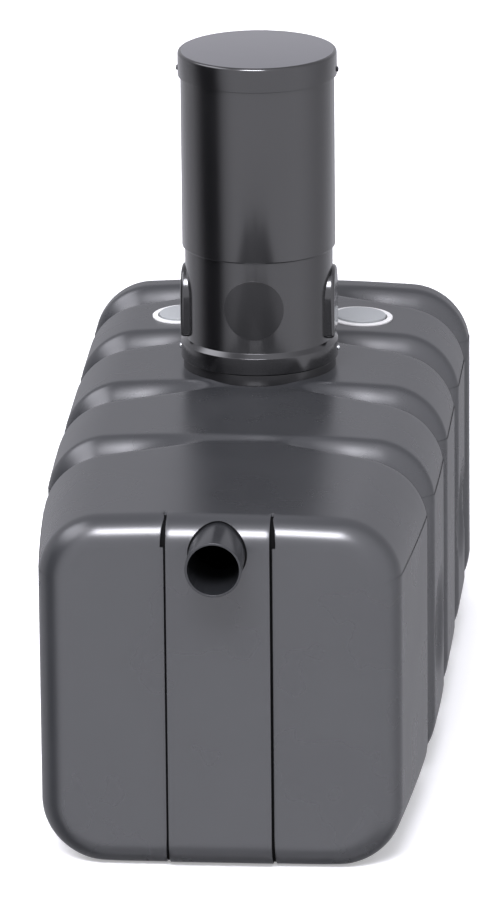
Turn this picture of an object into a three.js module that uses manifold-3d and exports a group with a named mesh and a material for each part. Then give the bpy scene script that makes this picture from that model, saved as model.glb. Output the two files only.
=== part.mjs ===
// A moulded polyethylene fresh water tank that stands on the ground or is buried, with a
// telescopic inspection shaft, a push-in inlet stub and two plugged service ports.
// Millimetres. +X is right, +Y is to the back and +Z is up. The origin is at the bottom
// centre of the whole object's box.
import * as THREE from "three";
import Module from "manifold-3d";

const wasm = await Module();
wasm.setup();

const axisX = new THREE.Vector3(1, 0, 0);
const axisY = new THREE.Vector3(0, 1, 0);
const axisZ = new THREE.Vector3(0, 0, 1);

// ---------------------------------------------------------------- driving sizes

const clearance = 0.3; // between pieces that touch
const roundSteps = 48; // facets round the shaft's pieces
const portSteps = 36; // and round the port's pieces

const tank = {
  width: 790, // over the widest lobe
  length: 1740, // from the front face to the back face
  height: 722, // from the ground to the crown
  wall: 8,
  cornerRadius: 120, // of the cross-section
  crown: 16, // rise of the top from its edge to its middle
  bottomFlat: 180, // half width of the flat strip that it rests on
  bottomRise: 8, // from the flat strip to the lower corners
  endRound: 55, // fillet round both end faces
  endTaper: 30, // how much narrower each side is at the front face
  taperLength: 400, // distance over which the front lobe widens
  taperPower: 1.5, // above 1, the widening ends softly
};
const formSteps = { corner: 5, top: 8, side: 1 }; // facets of the outside
const coarse = { corner: 3, top: 8, side: 1 }; // and of the surfaces that aren't seen
const longestFacet = 400; // along the tank

const groove = {
  setbacks: [510, 886, 1258, 1595], // of each groove's middle, behind the front face
  depth: 42,
  frontSide: 95, // length of the slope down from the lobe in front
  backSide: 60, // length of the rounded shoulder of the lobe behind
  fadeStart: 90, // the groove is at its shallowest inside this half width
  fadeEnd: 240, // and at its full depth outside this one
  shallow: 0.07, // share of the depth that is left in the middle
  bottomFade: 260, // half width at which it has its full depth underneath
};

const dimple = {
  radius: 118,
  depth: 14,
  height: 290, // of its centre above the ground
  rimShare: 0.28, // share of the radius that the soft rim takes
};
const dimpledLobes = [1, 3]; // counted from 0 at the front

const panel = {
  width: 203,
  proud: 9,
  slot: 4,
  slotDepth: 4.5,
  round: 46, // fillet at its top and bottom
  wedgeWidth: 9, // each slot flares to this width at its head
  wedgeHeight: 55,
  footWidth: 6.5, // and to this one at its foot
  footHeight: 70,
  reach: 50, // how far back the slots run over the top and under the bottom
  bottomGap: 1, // from the ground to its underside
};

const shaft = {
  setback: 1073, // of its axis, behind the front face
  tubeDiameter: 315,
  tubeWall: 4.2,
  tubeLength: 403,
  neckDiameter: 304,
  neckWall: 7,
  neckExposed: 189, // neck in sight under the tube at rest
  neckInside: 160, // neck hidden inside the tube at rest
};

const foot = {
  flangeDiameter: 324,
  flangeHeight: 34,
  chamferHeight: 12,
  jointGap: 1.5, // dark line between the flange and the tank's shoulder
};

const shoulder = {
  diameter: 314,
  height: 17,
  upstandDiameter: 292,
  upstandBore: 268,
  upstandHeight: 30, // above the shoulder
};

const seal = { thickness: 3, height: 7, belowRim: 1 };
const telescope = { grooveDepth: 2.5, height: 8, belowTop: 6 };

const pad = { proud: 7, archRadius: 60, topBelowTube: 43 };
const spot = { diameter: 125, belowTube: 100, proud: 0.8 };
const embed = 1; // how far a raised feature starts inside its parent

const lid = {
  diameter: 326,
  topThickness: 6,
  skirtHeight: 51,
  edgeRadius: 6.6,
  sealThickness: 3,
  sealInset: 2, // of the seal's bore inside the tube's
};

const screw = {
  headDiameter: 11,
  headHeight: 3.2,
  shankDiameter: 5,
  socket: 5,
  socketDepth: 1.6,
  bite: 8, // how far a neck screw reaches into the upstand
};
const flangeScrewDrop = 2; // of the neck's screws below the middle of the flange

const inlet = {
  diameter: 110,
  wall: 4.6,
  protrusion: 100, // beyond the raised panel
  inside: 62, // behind the panel's face
  belowCrown: 66, // of its axis
  sealWidth: 3,
};
const inletSteps = 40; // facets round the inlet's pieces

const port = {
  setback: 1421,
  offset: 186, // of each axis from the middle
  ringDiameter: 135,
  ringThickness: 4,
  bore: 112,
  spigotWall: 5,
  spigotLength: 30,
  edge: 1.5, // rounding of the bush's and the plug's rims
  plugDiameter: 106,
  plugProud: 3.5,
  plugDepth: 22,
  plugWall: 3,
  nutDiameter: 142,
  nutHeight: 9,
  sealHeight: 5,
};

// ---------------------------------------------------------------- sizes worked out

const overallLength = inlet.protrusion + panel.proud + tank.length;
const frontFace = -overallLength / 2 + inlet.protrusion + panel.proud;
const panelFace = frontFace - panel.proud;
const shaftY = frontFace + shaft.setback;
const portY = frontFace + port.setback;
const inletZ = tank.height - inlet.belowCrown;

const shoulderTop = tank.height + shoulder.height;
const upstandTop = shoulderTop + shoulder.upstandHeight;
const flangeBottom = shoulderTop + foot.jointGap;
const flangeTop = flangeBottom + foot.flangeHeight;
const chamferTop = flangeTop + foot.chamferHeight;
const tubeBottom = chamferTop + shaft.neckExposed;
const tubeTop = tubeBottom + shaft.tubeLength;
const neckTop = tubeBottom + shaft.neckInside;
const tubeRadius = shaft.tubeDiameter / 2;
const tubeBore = tubeRadius - shaft.tubeWall;
const neckRadius = shaft.neckDiameter / 2;
const neckBore = neckRadius - shaft.neckWall;
const flangeRadius = foot.flangeDiameter / 2;
const upstandRadius = shoulder.upstandDiameter / 2;
const skirtBore = upstandRadius + seal.thickness;
const lidUnderside = tubeTop + clearance + lid.sealThickness + clearance;
const lidTop = lidUnderside + lid.topThickness;
const lidRadius = lid.diameter / 2;
const lidFit = 0.8; // radial play of the lid's skirt on the tube
const lidSkirtBottom = lidTop - lid.skirtHeight;
const lidScrewZ = lidSkirtBottom + screw.headDiameter;
const neckScrewZ = (flangeBottom + flangeTop) / 2 - flangeScrewDrop;
const portSeatDepth = 0.8; // spot face under each port ring
const portNutGap = 1.5; // between the wall's inside and the ring nut

// ---------------------------------------------------------------- solids from meshes

// Turns a closed three.js geometry into a manifold-3d solid.
function solidOf(geometry) {
  const source = geometry.index ? geometry.toNonIndexed() : geometry;
  const position = source.getAttribute("position");
  const vertices = [];
  const triVerts = [];
  const seen = new Map();
  for (let i = 0; i < position.count; i++) {
    const point = [position.getX(i), position.getY(i), position.getZ(i)];
    const key = point.map((value) => Math.round(value * 1e4)).join(",");
    if (!seen.has(key)) {
      seen.set(key, vertices.length / 3);
      vertices.push(...point);
    }
    triVerts.push(seen.get(key));
  }
  const kept = [];
  for (let i = 0; i < triVerts.length; i += 3) {
    const [a, b, c] = triVerts.slice(i, i + 3);
    if (a !== b && b !== c && c !== a) kept.push(a, b, c);
  }
  const solid = new wasm.Manifold(
    new wasm.Mesh({
      numProp: 3,
      vertProperties: new Float32Array(vertices),
      triVerts: new Uint32Array(kept),
    }),
  );
  if (solid.volume() <= 0) throw new Error("a solid is inside out");
  return solid;
}

function geometryOf(solid) {
  const mesh = solid.getMesh();
  const geometry = new THREE.BufferGeometry();
  geometry.setAttribute("position", new THREE.BufferAttribute(mesh.vertProperties, 3));
  geometry.setIndex(new THREE.BufferAttribute(mesh.triVerts, 1));
  const flat = geometry.toNonIndexed();
  flat.computeVertexNormals();
  return flat;
}

// A solid of revolution about +Z from [radius, height] points that run anticlockwise.
function turned(points, segments = roundSteps) {
  const profile = points.map(([radius, height]) => new THREE.Vector2(radius, height));
  const closed = points[0][0] === 0 && points.at(-1)[0] === 0;
  if (!closed) profile.push(profile[0].clone());
  const geometry = new THREE.LatheGeometry(profile, segments);
  geometry.rotateX(Math.PI / 2);
  return solidOf(geometry);
}

// A ring or tube between two radii and two heights.
function ring(inner, outer, bottom, top, segments = roundSteps) {
  return turned([[inner, bottom], [outer, bottom], [outer, top], [inner, top]], segments);
}

function disc(radius, bottom, top, segments = roundSteps) {
  return turned([[0, bottom], [radius, bottom], [radius, top], [0, top]], segments);
}

// A bar with an outline of [y, z] points, between two values of x.
function prismX(points, x0, x1) {
  const shape = new THREE.Shape(points.map(([y, z]) => new THREE.Vector2(y, z)));
  const geometry = new THREE.ExtrudeGeometry(shape, { depth: x1 - x0, bevelEnabled: false });
  const basis = new THREE.Matrix4().makeBasis(axisY, axisZ, axisX);
  geometry.applyMatrix4(basis);
  geometry.translate(x0, 0, 0);
  return solidOf(geometry);
}

// A bar with an outline of [z, x] points, between two values of y.
function prismY(points, y0, y1) {
  const shape = new THREE.Shape(points.map(([z, x]) => new THREE.Vector2(z, x)));
  const geometry = new THREE.ExtrudeGeometry(shape, { depth: y1 - y0, bevelEnabled: false });
  const basis = new THREE.Matrix4().makeBasis(axisZ, axisX, axisY);
  geometry.applyMatrix4(basis);
  geometry.translate(0, y0, 0);
  return solidOf(geometry);
}

// A cylinder about the inlet's axis, between two values of y.
function cylinderY(radius, y0, y1) {
  const geometry = new THREE.CylinderGeometry(radius, radius, y1 - y0, inletSteps);
  geometry.translate(0, (y0 + y1) / 2, inletZ);
  return solidOf(geometry);
}

// A cylinder about the X axis, between two values of x.
function cylinderX(radius, x0, x1, segments = 12) {
  const geometry = new THREE.CylinderGeometry(radius, radius, x1 - x0, segments);
  geometry.rotateZ(-Math.PI / 2);
  geometry.translate((x0 + x1) / 2, 0, 0);
  return solidOf(geometry);
}

// Points of an arc between two angles in degrees.
function arc(centre, radius, from, to, steps) {
  return Array.from({ length: steps + 1 }, (_, i) => {
    const angle = THREE.MathUtils.degToRad(from + ((to - from) * i) / steps);
    return [centre[0] + radius * Math.cos(angle), centre[1] + radius * Math.sin(angle)];
  });
}

// ---------------------------------------------------------------- tank shell

const innerReach = 0.75; // share of the wall by which the inside follows a groove sideways
const cornerShrink = 0.8; // share of the end fillet by which the corners' radius shrinks

function smoothstep(low, high, value) {
  const t = Math.min(1, Math.max(0, (value - low) / (high - low)));
  return t * t * (3 - 2 * t);
}

// How far a quarter circle of this radius falls away, at a distance from its end.
function quarterRound(radius, fromEnd) {
  if (fromEnd >= radius) return 0;
  const t = 1 - fromEnd / radius;
  return radius * (1 - Math.sqrt(1 - t * t));
}

// Depth of the groove at this distance behind the front face.
function grooveInset(setback) {
  let inset = 0;
  for (const middle of groove.setbacks) {
    const s = setback - middle;
    let share = 0;
    if (s > 0) {
      share = quarterRound(groove.backSide, s) / groove.backSide;
    } else if (-s < groove.frontSide) {
      share = (1 + Math.cos((Math.PI * s) / groove.frontSide)) / 2;
    }
    inset = Math.max(inset, groove.depth * share);
  }
  return inset;
}

// The same, for a wall inside that keeps its thickness on the steep shoulders.
function innerGrooveInset(setback, offset) {
  const reach = offset * innerReach;
  const shifts = [-reach, -reach / 2, 0, reach / 2, reach];
  return Math.max(...shifts.map((shift) => grooveInset(setback + shift)));
}

function sideTaper(setback) {
  const left = Math.max(0, 1 - setback / tank.taperLength);
  return tank.endTaper * left ** tank.taperPower;
}

function crownDrop(x) {
  return tank.crown * (x / (tank.width / 2)) ** 2;
}

// One closed outline of the tank in X and Z at a setback, with its walls moved inwards.
function outline(setback, offset, steps) {
  const fromEnd = Math.min(setback, tank.length - setback);
  const end = quarterRound(tank.endRound, fromEnd);
  const cut = innerGrooveInset(setback, offset);
  const halfWidth = tank.width / 2 - end - sideTaper(setback);
  const low = end;
  const high = tank.height - end;
  const radius = tank.cornerRadius - end * cornerShrink;
  const points = [];
  const place = (x, z, nx, nz) => {
    const across = Math.abs(x);
    const fade = smoothstep(groove.fadeStart, groove.fadeEnd, across);
    const topShare = groove.shallow + (1 - groove.shallow) * fade;
    const bottomShare = smoothstep(tank.bottomFlat, groove.bottomFade, across);
    const share = Math.max(nz > 0 ? topShare : bottomShare, Math.abs(nx));
    const depth = cut * share + offset;
    const rise = tank.bottomRise * smoothstep(tank.bottomFlat, tank.width / 2, across);
    let lift = 0;
    if (nz > 0) lift = -crownDrop(x);
    if (nz < 0) lift = rise;
    points.push([x - nx * depth, z - nz * depth + lift]);
  };
  const straightX = halfWidth - radius;
  const straightZ = high - low - 2 * radius;
  const corner = (sx, sz, start) => {
    const cz = sz > 0 ? high - radius : low + radius;
    for (let i = 0; i <= steps.corner; i++) {
      const angle = THREE.MathUtils.degToRad(start + (90 * i) / steps.corner);
      const nx = Math.cos(angle);
      const nz = Math.sin(angle);
      place(sx * straightX + radius * nx, cz + radius * nz, nx, nz);
    }
  };
  const between = (count, visit) => {
    for (let i = 1; i < count; i++) visit(i / count);
  };
  corner(1, 1, 0);
  between(steps.top, (t) => place(straightX * (1 - 2 * t), high, 0, 1));
  corner(-1, 1, 90);
  between(steps.side, (t) => place(-halfWidth, high - radius - straightZ * t, -1, 0));
  corner(-1, -1, 180);
  between(steps.top, (t) => place(-straightX * (1 - 2 * t), low, 0, -1));
  corner(1, -1, 270);
  between(steps.side, (t) => place(halfWidth, low + radius + straightZ * t, 1, 0));
  return points;
}

// Setbacks where the loft has an outline: close in fillets and grooves, wide between.
function loftSetbacks(fine, widest) {
  const wanted = [0, tank.length, tank.taperLength * 0.3, tank.taperLength * 0.6];
  for (let i = 1; i <= fine + 1; i++) {
    const t = tank.endRound * (1 - Math.cos((Math.PI / 2) * (i / (fine + 1))));
    wanted.push(t, tank.length - t);
  }
  for (const middle of groove.setbacks) {
    wanted.push(middle);
    for (let i = 1; i <= fine; i++) {
      wanted.push(middle - (groove.frontSide * i) / fine);
      wanted.push(middle + groove.backSide * (1 - Math.cos((Math.PI / 2) * (i / fine))));
    }
  }
  wanted.sort((a, b) => a - b);
  const setbacks = [0];
  for (const next of wanted) {
    const last = setbacks.at(-1);
    if (next - last < 1) continue;
    const parts = Math.ceil((next - last) / widest);
    for (let k = 1; k <= parts; k++) setbacks.push(last + ((next - last) * k) / parts);
  }
  return setbacks;
}

// The tank's outer form, with all its walls moved inwards by the offset.
function tankForm(offset, fine, widest, steps) {
  const rings = loftSetbacks(fine, widest).map((setback) => {
    const fromEnd = Math.min(setback, tank.length - setback);
    const pull = fromEnd < tank.endRound ? offset * (1 - fromEnd / tank.endRound) : 0;
    const y = frontFace + setback + (setback < tank.length / 2 ? pull : -pull);
    return outline(setback, offset, steps).map(([x, z]) => [x, y, z]);
  });
  const count = rings[0].length;
  const vertices = rings.flat();
  const triVerts = [];
  for (let r = 0; r + 1 < rings.length; r++) {
    for (let i = 0; i < count; i++) {
      const a = r * count + i;
      const b = r * count + ((i + 1) % count);
      triVerts.push(a, a + count, b, b, a + count, b + count);
    }
  }
  for (const [r, isFront] of [[0, true], [rings.length - 1, false]]) {
    const middle = vertices.length;
    vertices.push([0, rings[r][0][1], tank.height / 2]);
    for (let i = 0; i < count; i++) {
      const a = r * count + i;
      const b = r * count + ((i + 1) % count);
      triVerts.push(middle, ...(isFront ? [a, b] : [b, a]));
    }
  }
  const geometry = new THREE.BufferGeometry();
  geometry.setAttribute("position", new THREE.Float32BufferAttribute(vertices.flat(), 3));
  geometry.setIndex(triVerts);
  return solidOf(geometry);
}

// A shape of revolution about the X axis on one side wall, at the middle of a dimpled lobe.
function onSideWall(profile, lobe, side) {
  const edges = [0, ...groove.setbacks, tank.length];
  const middle = (edges[lobe] + groove.backSide + edges[lobe + 1] - groove.frontSide) / 2;
  return turned(profile, portSteps)
    .rotate([0, side * 90, 0])
    .translate([0, frontFace + middle, dimple.height]);
}

// The dish that is pressed into the wall: flat in the middle, with a soft rim.
function dimpleDish(lobe, side) {
  const wall = tank.width / 2;
  const floor = wall - dimple.depth;
  const rim = dimple.radius * dimple.rimShare;
  const slope = [1, 0.85, 0.5, 0.15, 0].map((t) => [
    dimple.radius - rim * t,
    wall + clearance - (dimple.depth + clearance) * smoothstep(0, 1, t),
  ]);
  const outside = wall + dimple.depth;
  const profile = [[0, floor], ...slope, [dimple.radius, outside], [0, outside]];
  return onSideWall(profile, lobe, side);
}

// The space that the dish takes out of the tank's inside, so that the wall stays thick.
function dimpleBacking(lobe, side) {
  const wall = tank.width / 2;
  const inside = wall - dimple.depth - tank.wall;
  const profile = [[0, inside], [dimple.radius, inside], [dimple.radius, wall], [0, wall]];
  return onSideWall(profile, lobe, side);
}

// The raised panel in the middle of the front face, as a bar along X.
function frontPanel() {
  const low = panel.bottomGap;
  const high = tank.height - crownDrop(panel.width / 2) - clearance;
  const back = frontFace + tank.endRound;
  const points = [
    [back, low],
    [back, high],
    ...arc([panelFace + panel.round, high - panel.round], panel.round, 90, 180, 7),
    ...arc([panelFace + panel.round, low + panel.round], panel.round, 180, 270, 7),
  ].reverse();
  return prismX(points, -panel.width / 2, panel.width / 2);
}

// A bar beside the panel, from its edge out to one width at the bottom and one at the top.
function slotBar(side, bottom, top, bottomWidth, topWidth) {
  const edge = panel.width / 2;
  const corners = [
    [top, side * edge],
    [top, side * (edge + topWidth)],
    [bottom, side * (edge + bottomWidth)],
    [bottom, side * edge],
  ];
  if (side < 0) corners.reverse();
  return prismY(corners, panelFace - 1, frontFace + panel.reach);
}

// The slots that bound the panel, each flared at its head and foot.
function panelSlots() {
  const top = tank.height + 1;
  const head = tank.height - panel.wedgeHeight;
  const bars = [-1, 1].flatMap((side) => [
    slotBar(side, -1, top, panel.slot, panel.slot),
    slotBar(side, head, top, panel.wedgeWidth, panel.slot),
    slotBar(side, -1, panel.footHeight, panel.footWidth, panel.slot),
  ]);
  const core = tankForm(panel.slotDepth, 3, longestFacet, coarse);
  return bars.reduce((all, bar) => all.add(bar)).subtract(core);
}

function alongShaft(solid) {
  return solid.translate([0, shaftY, 0]);
}

// The plane of a service port, tilted to lie on the crowned top.
function placePort(object, side) {
  const x = side * port.offset;
  object.position.set(x, portY, tank.height - crownDrop(x));
  object.rotation.y = side * Math.atan((2 * crownDrop(port.offset)) / port.offset);
}

function inPortFrame(solid, side) {
  const frame = new THREE.Object3D();
  placePort(frame, side);
  frame.updateMatrix();
  return solid.transform(frame.matrix.elements.slice());
}

function tankShell() {
  const inletRadius = inlet.diameter / 2 + inlet.sealWidth + clearance;
  const inletCut = cylinderY(inletRadius, panelFace - 1, panelFace + inlet.inside);
  const base = disc(shoulder.diameter / 2, tank.height - groove.depth, shoulderTop);
  const boreRadius = shoulder.upstandBore / 2;
  const upstand = ring(boreRadius, upstandRadius, shoulderTop - embed, upstandTop);
  const way = disc(boreRadius, tank.height - 2 * groove.depth, upstandTop + 1);
  let shell = tankForm(0, 3, longestFacet, formSteps);
  let cavity = tankForm(tank.wall, 2, longestFacet, coarse);
  for (const lobe of dimpledLobes) {
    for (const side of [-1, 1]) {
      shell = shell.subtract(dimpleDish(lobe, side));
      cavity = cavity.subtract(dimpleBacking(lobe, side));
    }
  }
  shell = shell.add(frontPanel());
  shell = shell.add(alongShaft(base));
  shell = shell.subtract(cavity);
  shell = shell.add(alongShaft(upstand));
  shell = shell.subtract(alongShaft(way));
  shell = shell.subtract(panelSlots());
  shell = shell.subtract(inletCut);
  for (const side of [-1, 1]) {
    const spigot = port.bore / 2 + port.spigotWall + clearance;
    const hole = disc(spigot, -port.spigotLength, port.spigotLength, portSteps);
    const seat = disc(port.ringDiameter / 2 + 1, -portSeatDepth, port.spigotLength, portSteps);
    shell = shell.subtract(inPortFrame(hole.add(seat), side));
    const tip = upstandRadius - screw.bite - 1;
    shell = shell.subtract(radialHole(side, tip, flangeRadius + 1, neckScrewZ));
  }
  return shell;
}

// ---------------------------------------------------------------- inspection shaft

// A solid along +X from the shaft's axis, put on one side at a height.
function besideShaft(solid, side, height) {
  const turnedSolid = side > 0 ? solid : solid.rotate([0, 0, 180]);
  return alongShaft(turnedSolid.translate([0, 0, height]));
}

// A clearance hole for a screw that points at the shaft's axis, between two radii.
function radialHole(side, from, to, height) {
  const hole = cylinderX(screw.shankDiameter / 2 + clearance, from, to);
  return besideShaft(hole, side, height);
}

// Neck with its flange, two side pads for pipes and the flush spot on the front.
function shaftNeck() {
  const ledge = upstandTop + clearance;
  const sealBottom = neckTop - telescope.belowTop - telescope.height;
  let neck = turned([
    [skirtBore, flangeBottom],
    [flangeRadius, flangeBottom],
    [flangeRadius, flangeTop],
    [neckRadius, chamferTop],
    [neckRadius, sealBottom],
    [neckRadius - telescope.grooveDepth, sealBottom],
    [neckRadius - telescope.grooveDepth, sealBottom + telescope.height],
    [neckRadius, sealBottom + telescope.height],
    [neckRadius, neckTop],
    [neckBore, neckTop],
    [neckBore, ledge + shaft.neckWall],
    [shoulder.upstandBore / 2, ledge + shaft.neckWall],
    [shoulder.upstandBore / 2, ledge],
    [skirtBore, ledge],
  ]);
  const padTop = tubeBottom - pad.topBelowTube;
  const padReach = neckRadius + pad.proud;
  const arch = [
    [-pad.archRadius, flangeTop],
    [pad.archRadius, flangeTop],
    ...arc([0, padTop - pad.archRadius], pad.archRadius, 0, 180, 16),
  ];
  const pads = prismX(arch, -padReach, padReach);
  const core = disc(neckRadius - embed, flangeTop - 1, padTop + 1);
  const spotZ = tubeBottom - spot.belowTube;
  const spotBar = cylinderY(spot.diameter / 2, -padReach, -neckRadius / 2);
  const spotSkin = ring(
    neckRadius - embed,
    neckRadius + spot.proud,
    spotZ - spot.diameter,
    spotZ + spot.diameter,
  );
  neck = neck.add(pads.subtract(core));
  neck = neck.add(spotSkin.intersect(spotBar.translate([0, 0, spotZ - inletZ])));
  neck = alongShaft(neck);
  for (const side of [-1, 1]) {
    neck = neck.subtract(radialHole(side, skirtBore - 1, flangeRadius + 1, neckScrewZ));
  }
  return neck;
}

function neckSeal() {
  const top = upstandTop - seal.belowRim;
  return alongShaft(ring(upstandRadius + clearance, skirtBore - clearance, top - seal.height, top));
}

function telescopeSeal() {
  const bottom = neckTop - telescope.belowTop - telescope.height + clearance;
  const top = bottom + telescope.height - 2 * clearance;
  const inner = neckRadius - telescope.grooveDepth + clearance;
  return alongShaft(ring(inner, tubeBore - clearance, bottom, top));
}

function shaftTube() {
  return alongShaft(ring(tubeBore, tubeRadius, tubeBottom, tubeTop));
}

function shaftLid() {
  const skirtInner = tubeRadius + lidFit;
  const profile = [
    [0, lidUnderside],
    [skirtInner, lidUnderside],
    [skirtInner, lidSkirtBottom],
    [lidRadius, lidSkirtBottom],
    ...arc([lidRadius - lid.edgeRadius, lidTop - lid.edgeRadius], lid.edgeRadius, 0, 90, 4),
    [0, lidTop],
  ];
  let cap = alongShaft(turned(profile));
  for (const side of [-1, 1]) {
    cap = cap.subtract(radialHole(side, skirtInner - 1, lidRadius + 1, lidScrewZ));
  }
  return cap;
}

function lidSeal() {
  const bottom = tubeTop + clearance;
  return alongShaft(ring(tubeBore - lid.sealInset, tubeRadius, bottom, bottom + lid.sealThickness));
}

// A pan-head socket screw along X: its shank ends at one radius, its head sits on another.
function radialScrew(side, tip, seat, height) {
  const shank = cylinderX(screw.shankDiameter / 2, tip, seat + 1);
  const outside = seat + clearance + screw.headHeight;
  const head = cylinderX(screw.headDiameter / 2, seat + clearance, outside, 18);
  const socket = cylinderX(screw.socket / 2, outside - screw.socketDepth, outside + 1, 6);
  return besideShaft(shank.add(head).subtract(socket), side, height);
}

// ---------------------------------------------------------------- inlet and ports

function inletPipe() {
  const mouth = panelFace - inlet.protrusion;
  const inside = panelFace + inlet.inside;
  const outer = cylinderY(inlet.diameter / 2, mouth, inside);
  const bore = cylinderY(inlet.diameter / 2 - inlet.wall, mouth - 1, inside + 1);
  return outer.subtract(bore);
}

function inletSeal() {
  const inside = panelFace + inlet.inside;
  const outer = cylinderY(inlet.diameter / 2 + inlet.sealWidth, panelFace, inside);
  const bore = cylinderY(inlet.diameter / 2 + clearance, panelFace - 1, inside + 1);
  const underRoof = tankForm(clearance, 3, longestFacet, coarse);
  return outer.subtract(bore).intersect(underRoof);
}

// White flanged bush of a port: a flat ring on top and a spigot through the shell.
function portRing() {
  const inner = port.bore / 2;
  const outer = inner + port.spigotWall;
  const flange = port.ringDiameter / 2;
  const bottom = clearance - portSeatDepth;
  const top = bottom + port.ringThickness;
  return turned([
    [inner, bottom - port.spigotLength],
    [outer, bottom - port.spigotLength],
    [outer, bottom],
    [flange, bottom],
    ...arc([flange - port.edge, top - port.edge], port.edge, 0, 90, 3),
    [inner, top],
  ], portSteps);
}

// Ring nut that clamps the bush from inside the tank.
function portNut() {
  const inner = port.bore / 2 + port.spigotWall + clearance;
  const top = -tank.wall - portNutGap;
  return ring(inner, port.nutDiameter / 2, top - port.nutHeight, top, portSteps);
}

// Light grey cup that plugs the bush, with a slight dome and a rounded rim.
function portPlug() {
  const outer = port.plugDiameter / 2;
  const top = clearance - portSeatDepth + port.ringThickness + port.plugProud;
  const floor = top - port.plugWall;
  return turned([
    [0, floor],
    [outer - port.plugWall, floor],
    [outer - port.plugWall, top - port.plugDepth],
    [outer, top - port.plugDepth],
    ...arc([outer - port.edge, top - port.edge], port.edge, 0, 90, 3),
    [0, top],
  ], portSteps);
}

function portPlugSeal() {
  const bottom = clearance - portSeatDepth - port.plugDepth / 2;
  const outer = port.bore / 2 - clearance;
  const inner = port.plugDiameter / 2 + clearance;
  return ring(inner, outer, bottom, bottom + port.sealHeight, portSteps);
}

// ---------------------------------------------------------------- assembly

const assembly = new THREE.Group();

function material(color, roughness, metalness = 0) {
  return new THREE.MeshStandardMaterial({ color, roughness, metalness });
}

function add(name, solid, finish) {
  const mesh = new THREE.Mesh(geometryOf(solid), finish);
  mesh.name = name;
  assembly.add(mesh);
  return mesh;
}

const tankGrey = () => material(0x6b6c6f, 0.45);
const shaftGrey = () => material(0x3f4043, 0.35);
const pipeGrey = () => material(0x2e2f31, 0.35);
const rubber = () => material(0x161616, 0.8);
const white = () => material(0xf4f4f2, 0.5);
const plugGrey = () => material(0xc2c4c4, 0.55);

add("tank_shell", tankShell(), tankGrey());
add("inlet_pipe", inletPipe(), pipeGrey());
add("inlet_seal", inletSeal(), rubber());
add("neck_seal", neckSeal(), rubber());
add("shaft_neck", shaftNeck(), shaftGrey());
add("telescope_seal", telescopeSeal(), rubber());
add("shaft_tube", shaftTube(), shaftGrey());
add("lid_seal", lidSeal(), rubber());
add("shaft_lid", shaftLid(), shaftGrey());

for (const [label, side] of [["left", -1], ["right", 1]]) {
  const neckScrew = radialScrew(side, upstandRadius - screw.bite, flangeRadius, neckScrewZ);
  const lidScrew = radialScrew(side, tubeRadius + clearance, lidRadius, lidScrewZ);
  add("neck_screw_" + label, neckScrew, material(0xc9cbcd, 0.25, 1));
  add("lid_screw_" + label, lidScrew, material(0x3a3a3c, 0.3, 1));
  placePort(add("port_ring_" + label, portRing(), white()), side);
  placePort(add("port_nut_" + label, portNut(), white()), side);
  placePort(add("port_plug_" + label, portPlug(), plugGrey()), side);
  placePort(add("port_plug_seal_" + label, portPlugSeal(), rubber()), side);
}

export default assembly;
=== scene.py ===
"""Looks of a moulded polyethylene fresh water tank with a telescopic inspection shaft.

Sizes are millimetres in the row frame, +X right, +Y back and +Z up, and become metres
where a mesh is made.
"""
import math

import bpy
import numpy as np
from mathutils import Matrix, Vector


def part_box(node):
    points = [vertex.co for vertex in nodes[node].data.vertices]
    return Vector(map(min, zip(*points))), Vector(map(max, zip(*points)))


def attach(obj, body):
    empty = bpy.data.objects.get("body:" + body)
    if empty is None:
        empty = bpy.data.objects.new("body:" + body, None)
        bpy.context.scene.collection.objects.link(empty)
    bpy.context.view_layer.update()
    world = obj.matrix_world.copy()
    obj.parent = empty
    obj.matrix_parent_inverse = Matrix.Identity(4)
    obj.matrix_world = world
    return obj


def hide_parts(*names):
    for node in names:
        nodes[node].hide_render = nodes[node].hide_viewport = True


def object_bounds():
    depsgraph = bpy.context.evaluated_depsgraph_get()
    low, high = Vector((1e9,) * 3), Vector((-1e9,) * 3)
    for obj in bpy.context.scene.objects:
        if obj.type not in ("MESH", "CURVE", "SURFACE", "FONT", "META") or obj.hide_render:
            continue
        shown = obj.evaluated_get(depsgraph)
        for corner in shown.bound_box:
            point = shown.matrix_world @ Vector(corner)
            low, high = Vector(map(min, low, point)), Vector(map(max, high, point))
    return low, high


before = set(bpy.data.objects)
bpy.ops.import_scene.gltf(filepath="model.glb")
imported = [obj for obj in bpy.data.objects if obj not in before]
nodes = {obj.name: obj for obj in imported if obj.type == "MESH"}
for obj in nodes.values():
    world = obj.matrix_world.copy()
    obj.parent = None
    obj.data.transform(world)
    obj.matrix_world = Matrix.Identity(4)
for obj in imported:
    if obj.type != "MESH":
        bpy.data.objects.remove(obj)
cad_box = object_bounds()
MM = 0.001

# ------------------------------------------------------------------ sizes of the tank

WIDTH = 790
LENGTH = 1740
HEIGHT = 722
WALL = 8
CLEARANCE = 0.3  # between pieces that touch
CUT_REACH = 30  # of a cutter on each side of the wall that it goes through
CORNER = 120  # corner radius of the cross-section
CORNER_SHRINK = 0.8  # share of the end fillet that the corner radius loses
CROWN = 16
END_ROUND = 55  # fillet round both end faces
END_TAPER = 44
TAPER_LENGTH = 800
TAPER_POWER = 1.8
REAR_FLARE = 7  # how much wider each side is at the back face than at the middle
FLARE_START = 900
BOTTOM_FLAT = 180
BOTTOM_RISE = 8

GROOVES = (510, 886, 1258, 1595)  # setbacks behind the front face
GROOVE_DEPTH = 42
FRONT_SIDE = 95  # slope down from the lobe in front
BACK_SIDE = 64  # soft shoulder of the lobe behind
FADE_START = 70
FADE_END = 240
FADE_SHIFT = 26  # how much further back a faded groove lies
FADED_FRONT = 24  # length of its front slope there
FADE_OUT = 300  # half width at which it starts to move back
BOTTOM_FADE = 260
SHALLOW = 0.16

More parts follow.
